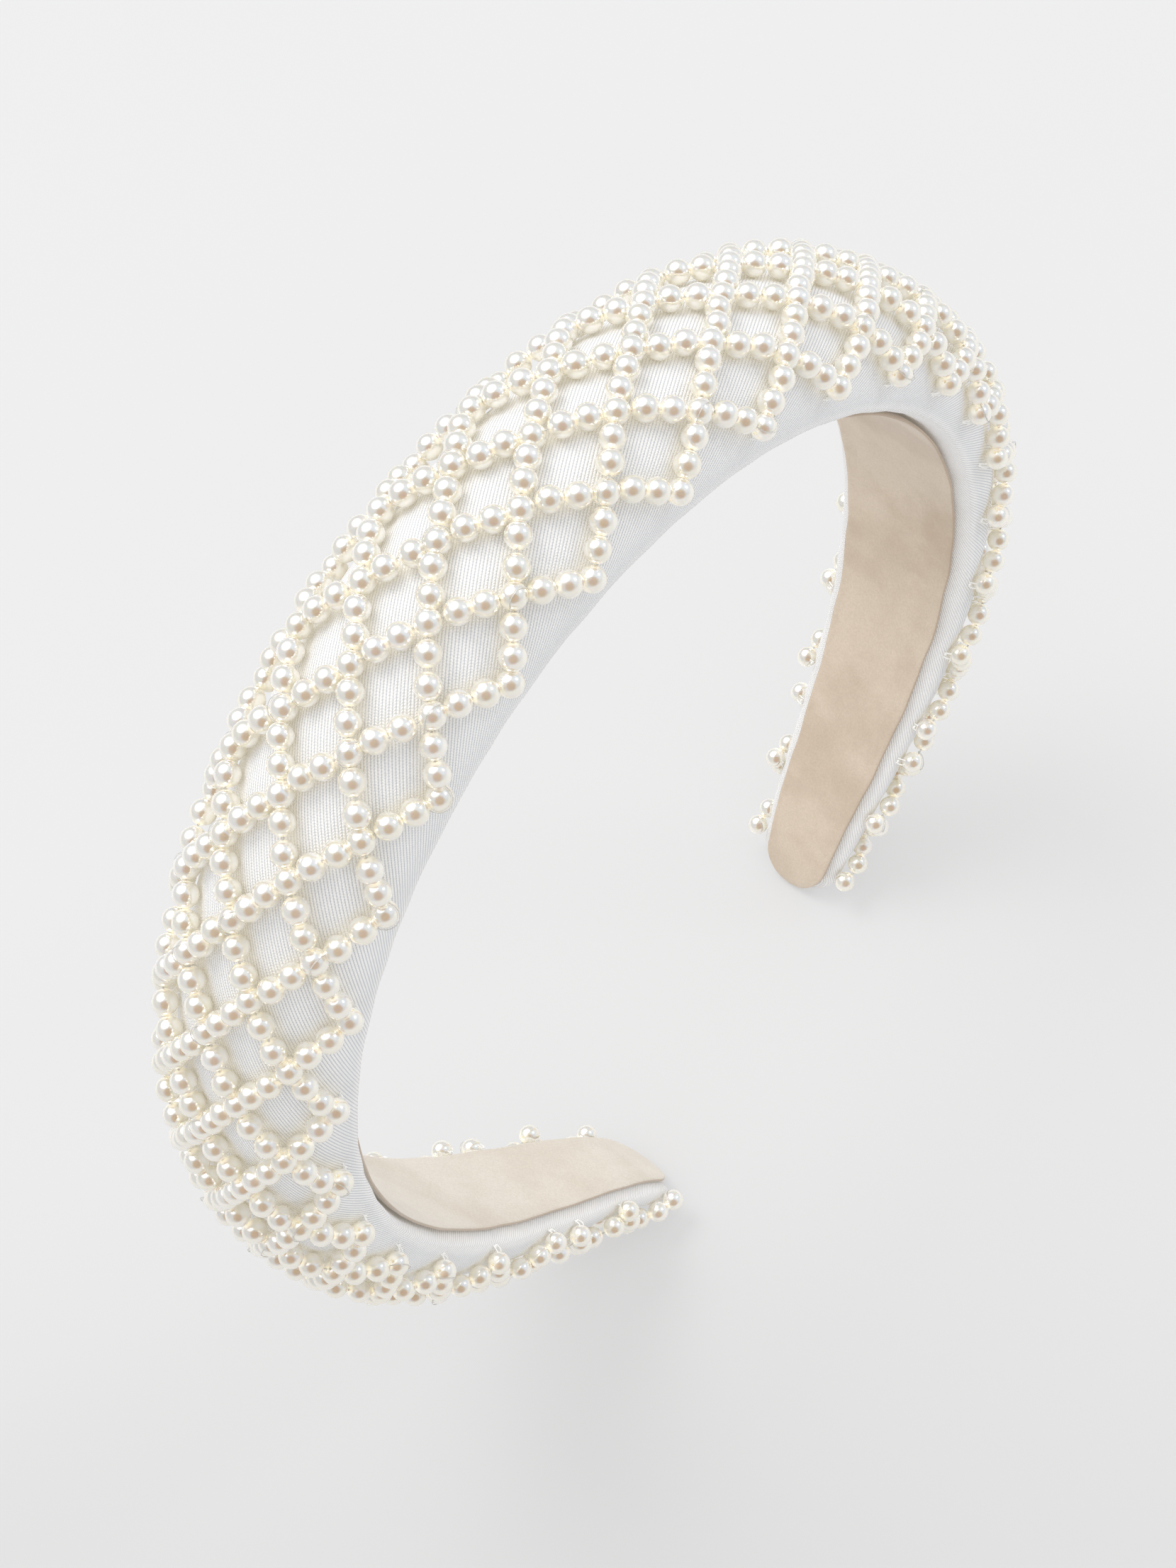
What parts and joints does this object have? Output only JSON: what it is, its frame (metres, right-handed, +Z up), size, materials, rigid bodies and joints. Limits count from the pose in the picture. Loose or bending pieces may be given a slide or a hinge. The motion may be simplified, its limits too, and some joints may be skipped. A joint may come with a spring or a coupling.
{
  "type": "padded headband",
  "caption": "Padded headband of knitted fabric over a sprung core, covered with a net of small pearls and lined with suede.",
  "frame": {"origin": "middle of the bounding box at the floor the tips stand on", "axes": "+X from the left tip to the right tip, +Y across the band away from the wearer's face, +Z up to the crown"},
  "size_m": [0.143, 0.0298, 0.1464],
  "materials": {
    "core_plastic": "moulded nylon strip, hidden",
    "foam": "soft polyurethane foam, hidden",
    "knit": "fine white knit, matte",
    "suede": "beige microsuede, napped and mottled",
    "pearl": "cream pearlescent coating, high gloss"
  },
  "bodies": {
    "root": {"band_core": "core_plastic", "foam_pad": "foam", "knit_cover": "knit", "suede_lining": "suede", "pearl_strand_1": "pearl", "pearl_strand_2": "pearl", "pearl_strand_3": "pearl", "pearl_strand_4": "pearl", "pearl_strand_5": "pearl", "pearl_strand_6": "pearl"}
  },
  "joints": []
}
